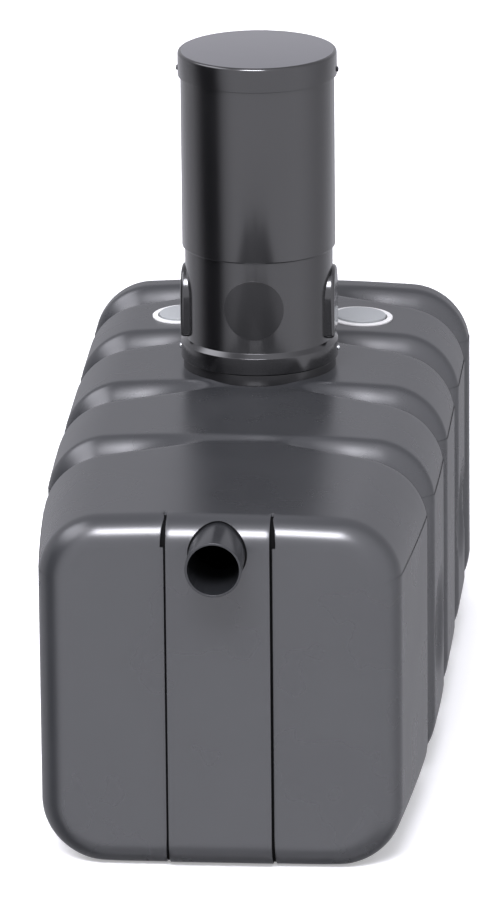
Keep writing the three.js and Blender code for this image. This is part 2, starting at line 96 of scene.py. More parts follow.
DIMPLE_RADIUS = 118
DIMPLE_DEPTH = 14
DIMPLE_Z = 290
DIMPLE_RIM = 33
DIMPLED_LOBES = (1, 3)

PANEL_HALF = 101.5
PANEL_PROUD = 9
PANEL_ROUND = 60
PANEL_GAP = 1  # from the ground to its underside
PANEL_TURN = 1.09  # how much sooner than the tank's fillet the panel's turns level
SLOT = 4.2
SLOT_DEPTH = 4.5
HEAD_FLARE = 10.6  # width of a slot just above the step at its head
FOOT_FLARE = 2.4  # how much wider it is at the ground
FOOT_HEIGHT = 70

INLET_WALL = 4.6
INLET_SEAL = 3.3
INLET_INSIDE = 62

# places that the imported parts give
pipe_low, pipe_high = (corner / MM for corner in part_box("inlet_pipe"))
tube_low, tube_high = (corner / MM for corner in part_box("shaft_tube"))
lid_low, lid_high = (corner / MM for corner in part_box("shaft_lid"))
neck_low, neck_high = (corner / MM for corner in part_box("shaft_neck"))
FRONT = cad_box[1].y / MM - LENGTH
PANEL_FACE = FRONT - PANEL_PROUD
PIPE_Z = (pipe_low.z + pipe_high.z) / 2
PIPE_RADIUS = (pipe_high.z - pipe_low.z) / 2
SHAFT_Y = (tube_low.y + tube_high.y) / 2
TUBE_RADIUS = (tube_high.x - tube_low.x) / 2
TUBE_WALL = 4.2
TUBE_EDGE = 3.4  # rounding of its lower rim
LID_RADIUS = (lid_high.x - lid_low.x) / 2
LID_EDGE = 6.6
LID_TOP_THICKNESS = 6

SHOULDER_RADIUS = 157
SHOULDER_TOP = 739
UPSTAND_RADIUS = 146
UPSTAND_BORE = 134
UPSTAND_TOP = 769
FLANGE_RADIUS = 162
FLANGE_TOP = 775
CHAMFER_TOP = 783.5
NECK_RADIUS = 152
NECK_BORE = 145
SKIRT_BORE = 149
PAD_X = 159
PAD_HALF = 60
PAD_BOTTOM = 790
PAD_TOP = 932.5
PAD_EDGE = 8
SPOT_RADIUS = 62.5
SPOT_Z = 875.5
SPOT_PROUD = 0.8

PORT_X = 186
PORT_Y = FRONT + 1421
PORT_RING_RADIUS = 67.5
PORT_RING_TOP = 3.5  # above the crowned top
PORT_BORE = 56
PORT_SPIGOT = 61
PORT_PLUG_RADIUS = 53
PORT_PLUG_TOP = 7

# ------------------------------------------------------------------ colours and materials


def linear(code):
    """An sRGB hex colour as linear RGBA."""
    parts = [int(code[i : i + 2], 16) / 255 for i in (1, 3, 5)]
    low = [p / 12.92 if p <= 0.04045 else ((p + 0.055) / 1.055) ** 2.4 for p in parts]
    return [*low, 1.0]


def add_node(tree, kind, settings=None, **links):
    """Adds a node with its own settings, its sockets filled from values or other sockets."""
    node = tree.nodes.new(kind)
    for name, value in (settings or {}).items():
        setattr(node, name, value)
    for name, value in links.items():
        key = int(name[1:]) if name[0] == "_" and name[1:].isdigit() else name.replace("_", " ")
        socket = node.inputs[key]
        if isinstance(value, bpy.types.NodeSocket):
            tree.links.new(value, socket)
        else:
            socket.default_value = value
    return node


def moulded(name, colours, roughness, specular, mottle_mm, peel_mm, peel_depth_mm, **finish):
    """A plastic: two close tones in soft clouds, with the fine unevenness of its surface.

    finish may say how the unevenness is stretched and how strong a polished skin it has.
    """
    stretch = finish.get("stretch", (1, 1, 1))
    material = bpy.data.materials.new(name)
    material.use_nodes = True
    tree = material.node_tree
    tree.nodes.clear()
    place = add_node(tree, "ShaderNodeTexCoord").outputs["Object"]
    mottle = add_node(
        tree, "ShaderNodeTexNoise", Vector=place, Scale=1 / (mottle_mm * MM), Detail=3.0
    )
    tones = add_node(tree, "ShaderNodeValToRGB", Fac=mottle.outputs["Fac"])
    tones.color_ramp.elements[0].position = 0.3
    tones.color_ramp.elements[1].position = 0.7
    tones.color_ramp.elements[0].color = linear(colours[0])
    tones.color_ramp.elements[1].color = linear(colours[1])
    sheen = add_node(
        tree,
        "ShaderNodeMapRange",
        _0=mottle.outputs["Fac"],
        _1=0.3,
        _2=0.7,
        _3=roughness * 0.93,
        _4=roughness * 1.07,
    )
    drawn = add_node(tree, "ShaderNodeMapping", Vector=place, Scale=stretch)
    peel = add_node(
        tree,
        "ShaderNodeTexNoise",
        Vector=drawn.outputs["Vector"],
        Scale=1 / (peel_mm * MM),
        Detail=2.0,
    )
    bump = add_node(
        tree,
        "ShaderNodeBump",
        Strength=1.0,
        Distance=peel_depth_mm * MM,
        Height=peel.outputs["Fac"],
    )
    shader = add_node(
        tree,
        "ShaderNodeBsdfPrincipled",
        Base_Color=tones.outputs["Color"],
        Roughness=sheen.outputs["Result"],
        Normal=bump.outputs["Normal"],
        IOR=1.5,
        Specular_IOR_Level=specular,
        Coat_Weight=finish.get("polish", 0.0),
        Coat_Roughness=finish.get("polish_roughness", 0.15),
    )
    add_node(tree, "ShaderNodeOutputMaterial", Surface=shader.outputs["BSDF"])
    return material


def metal(name, colour, roughness, brush_mm):
    """A turned steel with the fine brush lines of its finish."""
    material = bpy.data.materials.new(name)
    material.use_nodes = True
    tree = material.node_tree
    tree.nodes.clear()
    place = add_node(tree, "ShaderNodeTexCoord").outputs["Object"]
    brush = add_node(
        tree, "ShaderNodeTexNoise", Vector=place, Scale=1 / (brush_mm * MM), Detail=2.0
    )
    sheen = add_node(
        tree,
        "ShaderNodeMapRange",
        _0=brush.outputs["Fac"],
        _3=roughness * 0.7,
        _4=roughness * 1.3,
    )
    shader = add_node(
        tree,
        "ShaderNodeBsdfPrincipled",
        Base_Color=linear(colour),
        Metallic=1.0,
        Roughness=sheen.outputs["Result"],
    )
    add_node(tree, "ShaderNodeOutputMaterial", Surface=shader.outputs["BSDF"])
    return material


# Rotomoulded polyethylene: satin, with the faint orange peel that the mould leaves.
tank_skin = moulded("rotomoulded_polyethylene", ("#28292b", "#2b2c2e"), 0.28, 0.9, 180, 5, 0.02)
# The floor of the slots and the panel's side beside them: the same plastic with the slots'
# shade painted in, near black and dull.
slot_shade_skin = moulded("carbon_black_polyethylene", ("#060607", "#080809"), 0.8, 0.1, 60, 4, 0.02)
# Extruded polyethylene tube: near black and smooth, with faint lengthwise die lines.
tube_skin = moulded(
    "extruded_polyethylene",
    ("#0f0f10", "#121213"),
    0.18,
    0.5,
    220,
    6,
    0.006,
    stretch=(1, 1, 0.03),
    polish=0.9,
    polish_roughness=0.22,
)
# Injection moulded polyethylene: as the tube, with a fine even grain.
neck_skin = moulded(
    "moulded_polyethylene", ("#0f0f10", "#121213"), 0.18, 0.5, 160, 3, 0.004, polish=0.8
)
# The lid's top: a fine etched grain, and a paler colour than the smooth skirt that is painted
# sheen, the bright reflection on the top painted into its colour.
grain_and_sheen_skin = moulded(
    "grained_polyethylene", ("#505053", "#545457"), 0.4, 0.9, 160, 2, 0.01, polish=0.6
)
# The round spot on the neck's front and the collar under it: the same with a duller skin.
spot_skin = moulded(
    "dull_polyethylene", ("#101011", "#131314"), 0.3, 0.5, 160, 3, 0.004, polish=0.2
)
# Drain pipe: smooth dark polypropylene.
pipe_skin = moulded("polypropylene_pipe", ("#222325", "#252628"), 0.25, 0.5, 90, 4, 0.008)
white_skin = moulded("white_polypropylene", ("#dddddb", "#e2e2e0"), 0.35, 0.5, 60, 3, 0.01)
grey_skin = moulded("grey_polypropylene", ("#999c9d", "#9ea1a1"), 0.42, 0.4, 60, 3, 0.01)
# Rubber: matt, with a slight grain.
rubber_skin = moulded("epdm_rubber", ("#101010", "#141414"), 0.75, 0.3, 30, 1.5, 0.02)
steel_skin = metal("stainless_steel", "#d3d5d7", 0.22, 0.6)
black_steel_skin = metal("blackened_steel", "#3c3c3e", 0.35, 0.6)

# ------------------------------------------------------------------ mesh helpers


def mesh_object(name, points_mm, faces, material):
    mesh = bpy.data.meshes.new(name)
    mesh.from_pydata([Vector(p) * MM for p in points_mm], [], faces)
    mesh.materials.append(material)
    mesh.update()
    piece = bpy.data.objects.new(name, mesh)
    bpy.context.scene.collection.objects.link(piece)
    return piece


def smooth(mesh, sharp_degrees=32):
    mesh.shade_smooth()
    mesh.set_sharp_from_angle(angle=math.radians(sharp_degrees))


def settled(piece):
    """The piece's mesh with its modifiers worked in and taken off."""
    bpy.context.view_layer.update()
    graph = bpy.context.evaluated_depsgraph_get()
    made = bpy.data.meshes.new_from_object(piece.evaluated_get(graph))
    old = piece.data
    piece.modifiers.clear()
    piece.data = made
    bpy.data.meshes.remove(old)
    made.name = piece.name
    return piece


def smoothstep(low, high, value):
    t = np.clip((value - low) / (high - low), 0, 1)
    return t * t * (3 - 2 * t)


def quarter_round(radius, from_end):
    """How far a quarter circle falls away at a distance from its end."""
    t = np.clip(1 - from_end / radius, 0, 1)
    return radius * (1 - np.sqrt(1 - t * t))


def crown_drop(x):
    return CROWN * (x / (WIDTH / 2)) ** 2


# ------------------------------------------------------------------ the tank's shell


def groove_inset(setback, faded=0.0):
    """Depth of the grooves at a setback; where they fade they're short and further back."""
    inset = np.zeros(np.shape(faded))
    for groove in GROOVES:
        middle = groove + FADE_SHIFT * faded
        back = BACK_SIDE - FADE_SHIFT * faded
        front = FRONT_SIDE + (FADED_FRONT - FRONT_SIDE) * faded
        s = setback - middle
        away = np.where(s > 0, s / back, -s / front)
        share = (1 + np.cos(np.pi * np.minimum(1, away))) / 2
        inset = np.maximum(inset, GROOVE_DEPTH * share)
    return inset


def ring_setbacks(fine, widest):
    """Setbacks of the loft's outlines: close in fillets and grooves, wide between."""
    turn = np.linspace(0, np.pi / 2, fine + 1)
    quarter = 1 - np.cos(turn)
    parts = [END_ROUND * quarter, LENGTH - END_ROUND * quarter]
    for middle in GROOVES:
        parts.append(middle - FRONT_SIDE * np.linspace(0, 1, fine + 1))
        parts.append(middle + BACK_SIDE * np.linspace(0, 1, fine + 1))
    made = [0.0]
    for wanted in np.sort(np.concatenate(parts)):
        gap = wanted - made[-1]
        if gap > 0.2:
            steps = math.ceil(gap / widest)
            start = made[-1]
            made += [start + gap * k / steps for k in range(1, steps + 1)]
    return made


# Columns of the top and bottom that keep their x, from +X to the middle: x, how far each lies
# under its surface, whether that surface is the panel's, and whether it moves with the flare.
EDGE_COLUMNS = [
    (125, 0, False, False),
    (115, 0, False, False),
    (PANEL_HALF + SLOT + 1.3, 0, False, True),
    (PANEL_HALF + SLOT + 0.4, 0.3, False, True),
    (PANEL_HALF + SLOT, 1.1, False, True),
    (PANEL_HALF + SLOT - 0.05, SLOT_DEPTH, False, True),
    (PANEL_HALF + 0.05, SLOT_DEPTH, False, False),
    (PANEL_HALF, 1.4, True, False),
    (PANEL_HALF - 0.4, 0.4, True, False),
    (PANEL_HALF - 1.6, 0, True, False),
]
# The faces that BLACK_FROM and BLACK_TO pick get the near black painted shade of the slots.
BLACK_FROM, BLACK_TO = 5, 7  # of those, the slot's floor and the panel's side
FIRST_ROW = 0.0008  # share of the side's height where its first and last rows lie


def fixed_columns(detailed):
    if not detailed:
        return [(x, 0, False, False) for x in (125, 60, 0, -60, -125)]
    middle = [(x, 0, True, False) for x in range(90, -91, -10)]
    mirrored = [(-x, *rest) for x, *rest in reversed(EDGE_COLUMNS)]
    return EDGE_COLUMNS + middle + mirrored


def slot_width(z, turned_up, is_top):
    """Width of the slot beside the panel: stepped at its head and flared at its foot."""
    if is_top and turned_up is not None:
        return HEAD_FLARE * math.cos(turned_up)
    return SLOT + FOOT_FLARE * max(0.0, 1 - z / FOOT_HEIGHT)


def panel_point(column, x, z, turned_up, is_top):
    """A point of the front's middle part, on the panel, in a slot or beside it."""
    _, sink, on_panel, moves = column
    up = 1 if is_top else -1
    angle = turned_up or 0.0
    ceiling = HEIGHT - crown_drop(x)
    if on_panel:
        angle = min(math.pi / 2, angle * PANEL_TURN)
        y = PANEL_FACE + PANEL_ROUND * (1 - math.cos(angle))
        if turned_up is None:
            inner_low, inner_high = END_ROUND, ceiling - END_ROUND
            share = (z - inner_low) / (inner_high - inner_low)
            low, high = PANEL_GAP + PANEL_ROUND, ceiling - PANEL_ROUND
            z = low + (high - low) * share
        elif is_top:
            z = ceiling - PANEL_ROUND * (1 - math.sin(angle))
        else:
            z = PANEL_GAP + PANEL_ROUND * (1 - math.sin(angle))
    else:
        y = FRONT + END_ROUND * (1 - math.cos(angle))
    if moves:
        x += math.copysign(slot_width(z, turned_up, is_top) - SLOT, x)
    return [x, y + sink * math.cos(angle), z - up * sink * math.sin(angle)]


def half_width(setback):
    """Half the width at a distance behind the front face: widest at the back."""
    ahead = np.clip(1 - setback / TAPER_LENGTH, 0, 1)
    behind = np.clip((setback - FLARE_START) / (LENGTH - FLARE_START), 0, 1)
    return WIDTH / 2 - END_TAPER * ahead**TAPER_POWER + REAR_FLARE * behind


def dished(x, y, z, offset):
    """Moves a side wall in where a dimple is pressed into it."""
    edges = (0, *GROOVES, LENGTH)
    for lobe in DIMPLED_LOBES:
        middle = (edges[lobe] + BACK_SIDE + edges[lobe + 1] - FRONT_SIDE) / 2
        away = np.hypot(y - (FRONT + middle), z - DIMPLE_Z)
        share = 1 - smoothstep(DIMPLE_RADIUS - DIMPLE_RIM, DIMPLE_RADIUS + offset, away)
        near = away < DIMPLE_RADIUS + offset
        limit = half_width(y - FRONT) - offset - DIMPLE_DEPTH * share
        x = np.where(near, np.sign(x) * np.minimum(np.abs(x), limit), x)
    return x


def tank_form(offset, fine, widest, corner_steps, outer_steps, side_rows, detailed):
    """Points and faces of the tank, its walls moved inwards by the offset."""
    setbacks = ring_setbacks(fine, widest)
    fixed = fixed_columns(detailed)
    fixed_x = np.array([column[0] for column in fixed], float)
    count_fixed = len(fixed)
    columns = 2 * (corner_steps + 1) + 2 * (outer_steps - 1) + count_fixed
    first_fixed = corner_steps + outer_steps
    between = np.linspace(0, 1, side_rows - 1)[1:-1]
    rows = np.concatenate([[FIRST_ROW], between, [1 - FIRST_ROW]])
    angles = np.radians(np.linspace(0, 90, corner_steps + 1))
    points = []
    for setback in setbacks:
        from_end = min(setback, LENGTH - setback)
        end = float(quarter_round(END_ROUND, from_end))
        shifts = np.linspace(-offset, offset, 5) if offset else [0]
        cut = max(float(groove_inset(setback + shift)) for shift in shifts)
        half = float(half_width(setback)) - end
        low, high = end, HEIGHT - end
        radius = CORNER - end * CORNER_SHRINK
        straight = half - radius
        outer = np.linspace(straight, fixed_x[0], outer_steps + 1)[1:-1]
        top_x = np.concatenate([
            straight + radius * np.cos(angles), outer, fixed_x, -outer[::-1],
            -straight - radius * np.cos(angles[::-1]),
        ])
        flat = np.zeros(len(outer) * 2 + count_fixed)
        nx = np.concatenate([np.cos(angles), flat, -np.cos(angles[::-1])])
        nz = np.concatenate([np.sin(angles), flat + 1, np.sin(angles[::-1])])
        drop = radius * (1 - nz)
        across = np.abs(top_x)
        kept = smoothstep(FADE_START, FADE_END, across)
        top_share = SHALLOW + (1 - SHALLOW) * kept
        faded = np.clip((FADE_OUT - across) / (FADE_OUT - FADE_START), 0, 1)
        top_cut = np.max([groove_inset(setback + shift, faded) for shift in shifts], 0)
        under_share = smoothstep(BOTTOM_FLAT, BOTTOM_FADE, across)
        top_depth = top_cut * np.maximum(top_share, np.abs(nx)) + offset
        under_depth = cut * np.maximum(under_share, np.abs(nx)) + offset
        crown = np.where(nz > 1e-9, crown_drop(top_x), 0)
        rise = np.where(nz > 1e-9, BOTTOM_RISE * smoothstep(BOTTOM_FLAT, WIDTH / 2, across), 0)
        top = np.stack([top_x - nx * top_depth, high - drop - nz * top_depth - crown], 1)
        under = np.stack([top_x - nx * under_depth, low + drop + nz * under_depth + rise], 1)
        left = top[-1] + (under[-1] - top[-1]) * rows[:, None]
        right = top[0] + (under[0] - top[0]) * rows[:, None]
        loop = np.concatenate([top, left, under[::-1], right[::-1]])
        pull = offset * (1 - from_end / END_ROUND) if from_end < END_ROUND else 0
        y = FRONT + setback + (pull if setback < LENGTH / 2 else -pull)
        ring = np.stack([loop[:, 0], np.full(len(loop), y), loop[:, 1]], 1)
        if detailed and setback < END_ROUND - 0.01:
            turned_up = math.acos(1 - setback / END_ROUND)
            for k, column in enumerate(fixed):
                above = first_fixed + k
                below = 2 * columns + len(rows) - 1 - above
                for place, is_top in ((above, True), (below, False)):
                    z = ring[place][2]
                    ring[place] = panel_point(column, fixed_x[k], z, turned_up, is_top)
        points.append(ring)
    around = len(points[0])
    every = np.concatenate(points)
    faces, black = [], set()
    for r in range(len(points) - 1):
        for i in range(around):
            j = (i + 1) % around
            here, behind = r * around, (r + 1) * around
            faces.append((here + i, behind + i, behind + j, here + j))

    def in_slot(i):
        k = i - first_fixed
        mirror = count_fixed - 2 - k
        return detailed and (BLACK_FROM <= k < BLACK_TO or BLACK_FROM <= mirror < BLACK_TO)

    # The slots' faces, on the fillet here and on the front face below, get the near black
    # painted shade.
    fillet_rings = sum(1 for s in setbacks if s < END_ROUND - 0.01)
    for r in range(fillet_rings - 1):
        for i in range(columns - 1):
            if in_slot(i):
                black.add(r * around + i)
                black.add(r * around + 2 * columns + len(rows) - 2 - i)

    extra = []
    for last, first_ring in ((False, 0), (True, (len(points) - 1) * around)):
        grid = np.zeros((columns, len(rows) + 2), int)
        for i in range(columns):
            above = first_ring + i
            below = first_ring + 2 * columns + len(rows) - 1 - i
            grid[i, 0], grid[i, -1] = above, below
            for j, share in enumerate(rows):
                if i == 0:
                    grid[i, j + 1] = first_ring + 2 * columns + 2 * len(rows) - 1 - j
                elif i == columns - 1:
                    grid[i, j + 1] = first_ring + columns + j
                else:
                    k = i - first_fixed
                    if detailed and not last and 0 <= k < count_fixed:
                        high = HEIGHT - crown_drop(fixed_x[k]) - END_ROUND
                        z = high + (END_ROUND - high) * share
                        point = panel_point(fixed[k], fixed_x[k], z, None, share < 0.5)
                    else:
                        point = every[above] + (every[below] - every[above]) * share
                    grid[i, j + 1] = len(every) + len(extra)
                    extra.append(point)
        for i in range(columns - 1):
            for j in range(len(rows) + 1):
                quad = (grid[i, j], grid[i + 1, j], grid[i + 1, j + 1], grid[i, j + 1])
                if not last and in_slot(i):
                    black.add(len(faces))
                faces.append(tuple(int(v) for v in (quad[::-1] if last else quad)))
    every = np.concatenate([every, np.array(extra)])
    every[:, 0] = dished(every[:, 0], every[:, 1], every[:, 2], offset)
    return every, faces, black


def drum(radius, bottom, top, place, steps=96):
    """Points and faces of a plain cylinder, for cutting, put in place by a matrix."""
    points, faces = [], []
    for z in (bottom, top):
        for k in range(steps):
            a = 2 * math.pi * k / steps
            points.append(place @ Vector((radius * math.cos(a), radius * math.sin(a), z)))
    for k in range(steps):
        n = (k + 1) % steps
        faces.append((k, n, steps + n, steps + k))
    faces.append(tuple(range(steps - 1, -1, -1)))
    faces.append(tuple(range(steps, 2 * steps)))
    return points, faces


ALONG_SHAFT = Matrix.Translation((0, SHAFT_Y, 0))
ALONG_INLET = Matrix.Translation((0, PANEL_FACE, PIPE_Z)) @ Matrix.Rotation(math.pi / 2, 4, "X")


def port_place(side):
    tilt = side * math.atan(2 * crown_drop(PORT_X) / PORT_X)
    move = Matrix.Translation((side * PORT_X, PORT_Y, HEIGHT - crown_drop(PORT_X)))
    return move @ Matrix.Rotation(tilt, 4, "Y")


points, faces, black = tank_form(0, 14, 11, 18, 12, 66, True)
tank = mesh_object("tank_skin", points, faces, tank_skin)
# The slots' faces get the near black material, which is painted shade.
tank.data.materials.append(slot_shade_skin)
for index in black:
    tank.data.polygons[index].material_index = 1
points, faces, _ = tank_form(WALL, 6, 60, 8, 4, 12, False)
cavity = mesh_object("cavity", points, faces, tank_skin)
cut_points, cut_faces = [], []
for drum_points, drum_faces in (
    drum(UPSTAND_BORE, HEIGHT - CUT_REACH, HEIGHT + CUT_REACH, ALONG_SHAFT),
    drum(PIPE_RADIUS + INLET_SEAL, -INLET_INSIDE, CUT_REACH, ALONG_INLET),
    drum(PORT_SPIGOT + CLEARANCE, -CUT_REACH, CUT_REACH, port_place(-1)),
    drum(PORT_SPIGOT + CLEARANCE, -CUT_REACH, CUT_REACH, port_place(1)),
):
    start = len(cut_points)
    cut_points += drum_points
    cut_faces += [tuple(start + v for v in face) for face in drum_faces]
holes = mesh_object("holes", cut_points, cut_faces, tank_skin)
for cutter in (cavity, holes):
    cut = tank.modifiers.new(cutter.name, "BOOLEAN")
    cut.operation = "DIFFERENCE"
    cut.solver = "MANIFOLD"
    cut.object = cutter
settled(tank)
for cutter in (cavity, holes):
    bpy.data.objects.remove(cutter)
smooth(tank.data, 40)
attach(tank, "tank")
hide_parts("tank_shell")

# ------------------------------------------------------------------ turned pieces


def turned_tree():
    """Geometry Nodes: turns the object's row of points, [radius, 0, height], about Z."""
    tree = bpy.data.node_groups.new("turned_part", "GeometryNodeTree")
    sockets = (
        ("Profile", "INPUT", "NodeSocketGeometry"),
        ("Steps", "INPUT", "NodeSocketInt"),
        ("Closed", "INPUT", "NodeSocketInt"),
        ("Finish", "INPUT", "NodeSocketMaterial"),
        ("Part", "OUTPUT", "NodeSocketGeometry"),
    )
    for name, way, kind in sockets:
        tree.interface.new_socket(name, in_out=way, socket_type=kind)
    given = add_node(tree, "NodeGroupInput").outputs
    profile, steps, closed = (given[name] for name in ("Profile", "Steps", "Closed"))
    size = add_node(tree, "GeometryNodeAttributeDomainSize", Geometry=profile)
    index = add_node(tree, "GeometryNodeInputIndex").outputs["Index"]
    count = size.outputs["Point Count"]
    made = {"count": count, "closed": closed, "steps": steps, "index": index}
    for name, operation, first, second in (
        ("rows", "ADD", "count", "closed"),
        ("columns", "ADD", "steps", 1.0),
        ("place", "MODULO", "index", "rows"),
        ("row", "MODULO", "place", "count"),
        ("way_round", "DIVIDE", "index", "rows"),
        ("step", "FLOOR", "way_round", 0.0),
        ("share", "DIVIDE", "step", "steps"),
        ("angle", "MULTIPLY", "share", 2 * math.pi),
    ):
        sum_node = add_node(
            tree,
            "ShaderNodeMath",
            {"operation": operation},
            _0=made.get(first, first),
            _1=made.get(second, second),
        )
        made[name] = sum_node.outputs[0]
    grid = add_node(
        tree, "GeometryNodeMeshGrid", Vertices_X=made["columns"], Vertices_Y=made["rows"]
    )
    sampled = add_node(
        tree,
        "GeometryNodeSampleIndex",
        {"data_type": "FLOAT_VECTOR", "domain": "POINT"},
        Geometry=profile,
        Value=add_node(tree, "GeometryNodeInputPosition").outputs["Position"],
        Index=made["row"],
    )
    where = add_node(
        tree,
        "ShaderNodeVectorRotate",
        {"rotation_type": "Z_AXIS"},
        Vector=sampled.outputs["Value"],
        Angle=made["angle"],
    )
    set_at = add_node(
        tree,
        "GeometryNodeSetPosition",
        Geometry=grid.outputs["Mesh"],
        Position=where.outputs["Vector"],
    )
    merged = add_node(
        tree, "GeometryNodeMergeByDistance", Geometry=set_at.outputs["Geometry"], Distance=1e-6
    )
    real = add_node(tree, "GeometryNodeRealizeInstances", Geometry=merged.outputs["Geometry"])
    done = add_node(
        tree,
        "GeometryNodeSetMaterial",
        Geometry=real.outputs["Geometry"],
        Material=given["Finish"],
    )
    add_node(tree, "NodeGroupOutput", Part=done.outputs["Geometry"])
    return tree


def run_nodes(piece, tree, **values):
    """Puts the tree on the piece with these named inputs, and works it into the mesh."""
    modifier = piece.modifiers.new(tree.name, "NODES")
    modifier.node_group = tree
    for item in tree.interface.items_tree:
        if item.item_type == "SOCKET" and item.in_out == "INPUT" and item.name in values:
            modifier[item.identifier] = values[item.name]
    return settled(piece)


def rounded(corners, steps=5):
    """A profile from [radius, height, rounding] corners, each rounding drawn as an arc."""
    made = []
    count = len(corners)
    for k, (r, z, *rounding) in enumerate(corners):
        radius = rounding[0] if rounding else 0
        here = np.array([r, z], float)
        if not radius:
            made.append(here)
            continue
        before = np.array(corners[k - 1][:2], float) - here
        after = np.array(corners[(k + 1) % count][:2], float) - here
        before /= np.linalg.norm(before)
        after /= np.linalg.norm(after)
        opening = math.acos(float(np.clip(before @ after, -1, 1)))
        reach = radius / math.tan(opening / 2)
        middle = before + after
        centre = here + middle / np.linalg.norm(middle) * radius / math.sin(opening / 2)
        start = here + before * reach - centre
        finish = here + after * reach - centre
        sweep = math.atan2(start[0] * finish[1] - start[1] * finish[0], start @ finish)
        for i in range(steps + 1):
            a = sweep * i / steps
            turn = np.array([[math.cos(a), -math.sin(a)], [math.sin(a), math.cos(a)]])
            made.append(centre + turn @ start)
    return made


TURNED = turned_tree()


def turned(name, corners, material, place, body=None, stands_for=(), steps=192):
    """A turned piece from its profile's corners, anticlockwise, put in place by a matrix."""
    closed = corners[0][0] > 0
    profile = [(r, 0, z) for r, z in rounded(corners)]
    piece = mesh_object(name, profile, [], material)
    run_nodes(piece, TURNED, Steps=steps, Closed=int(closed), Finish=material)
    piece.data.transform(Matrix.Scale(MM, 4) @ place @ Matrix.Scale(1 / MM, 4))
    smooth(piece.data)
    if body:
        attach(piece, body)
        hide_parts(*stands_for)
    return piece


def tube_corners(bore, radius, bottom, top, edge):
    return [
        (bore, bottom, edge),
        (radius, bottom, edge),
        (radius, top, edge),
        (bore, top, edge),
    ]


shoulder = turned(
    "tank_shoulder",
    [
        (UPSTAND_BORE, HEIGHT - 22),
        (SHOULDER_RADIUS, HEIGHT - 22),
        (SHOULDER_RADIUS, SHOULDER_TOP, 2.5),
        (UPSTAND_RADIUS, SHOULDER_TOP),
        (UPSTAND_RADIUS, UPSTAND_TOP, 1),
        (UPSTAND_BORE, UPSTAND_TOP, 1),
    ],
    spot_skin,
    ALONG_SHAFT,
)
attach(shoulder, "tank")

seal_low, seal_high = (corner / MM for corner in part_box("telescope_seal"))
SEAL_GROOVE = 2.5
turned(
    "neck_body",
    [
        (SKIRT_BORE, neck_low.z, 0.6),
        (FLANGE_RADIUS, neck_low.z, 1.5),
        (FLANGE_RADIUS, FLANGE_TOP, 1.2),
        (NECK_RADIUS, CHAMFER_TOP, 1.2),
        (NECK_RADIUS, seal_low.z - 0.3),
        (NECK_RADIUS - SEAL_GROOVE, seal_low.z - 0.3),
        (NECK_RADIUS - SEAL_GROOVE, seal_high.z + 0.3),
        (NECK_RADIUS, seal_high.z + 0.3),
        (NECK_RADIUS, neck_high.z, 1),
        (NECK_BORE, neck_high.z, 1),
        (NECK_BORE, UPSTAND_TOP + 7.3),
        (UPSTAND_BORE, UPSTAND_TOP + 7.3, 1),
        (UPSTAND_BORE, UPSTAND_TOP + 0.3),
        (SKIRT_BORE, UPSTAND_TOP + 0.3),
    ],
    neck_skin,
    ALONG_SHAFT,
    "tank",
    ["shaft_neck"],
)

turned(
    "upper_tube",
    [
        (TUBE_RADIUS - TUBE_WALL, tube_low.z, 0.6),
        (TUBE_RADIUS, tube_low.z, TUBE_EDGE),
        (TUBE_RADIUS, tube_high.z, 0.8),
        (TUBE_RADIUS - TUBE_WALL, tube_high.z, 0.8),
    ],
    tube_skin,
    ALONG_SHAFT,
    "upper_shaft",
    ["shaft_tube"],
)
lid_underside = lid_high.z - LID_TOP_THICKNESS
LID_BORE = TUBE_RADIUS + 0.8
lid = turned(
    "lid_cap",
    [
        (0, lid_underside),
        (LID_BORE, lid_underside),
        (LID_BORE, lid_low.z, 0.8),
        (LID_RADIUS, lid_low.z, 1.2),
        (LID_RADIUS, lid_high.z, LID_EDGE),
        (0, lid_high.z),
    ],
    neck_skin,
    ALONG_SHAFT,
    "lid",
    ["shaft_lid"],
)
# The lid's upward faces get the paler material with its painted sheen.
lid.data.materials.append(grain_and_sheen_skin)
for face in lid.data.polygons:
    if face.normal.z > 0.99 and face.center.z > (lid_high.z - 1) * MM:
        face.material_index = len(lid.data.materials) - 1
for seal_name, body, inner in (
    ("lid_seal", "upper_shaft", 151.3),
    ("telescope_seal", "tank", 149.8),
    ("neck_seal", "tank", 146.3),
):
    low, high = (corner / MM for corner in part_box(seal_name))
    outer = (high.x - low.x) / 2
    turned(
        seal_name + "_ring",
        tube_corners(inner, outer, low.z, high.z, 0.5),
        rubber_skin,
        ALONG_SHAFT,
        body,
        [seal_name],
    )

# The inlet stub is turned about its own axis, with its height forwards out of the tank.
turned(
    "inlet_stub",
    [
        (PIPE_RADIUS - INLET_WALL, -INLET_INSIDE, 0.8),
        (PIPE_RADIUS, -INLET_INSIDE, 0.8),
        (PIPE_RADIUS, PANEL_FACE - pipe_low.y, 1.2),
        (PIPE_RADIUS - INLET_WALL, PANEL_FACE - pipe_low.y, 0.8),
    ],
    pipe_skin,
    ALONG_INLET,
    "tank",
    ["inlet_pipe"],
)

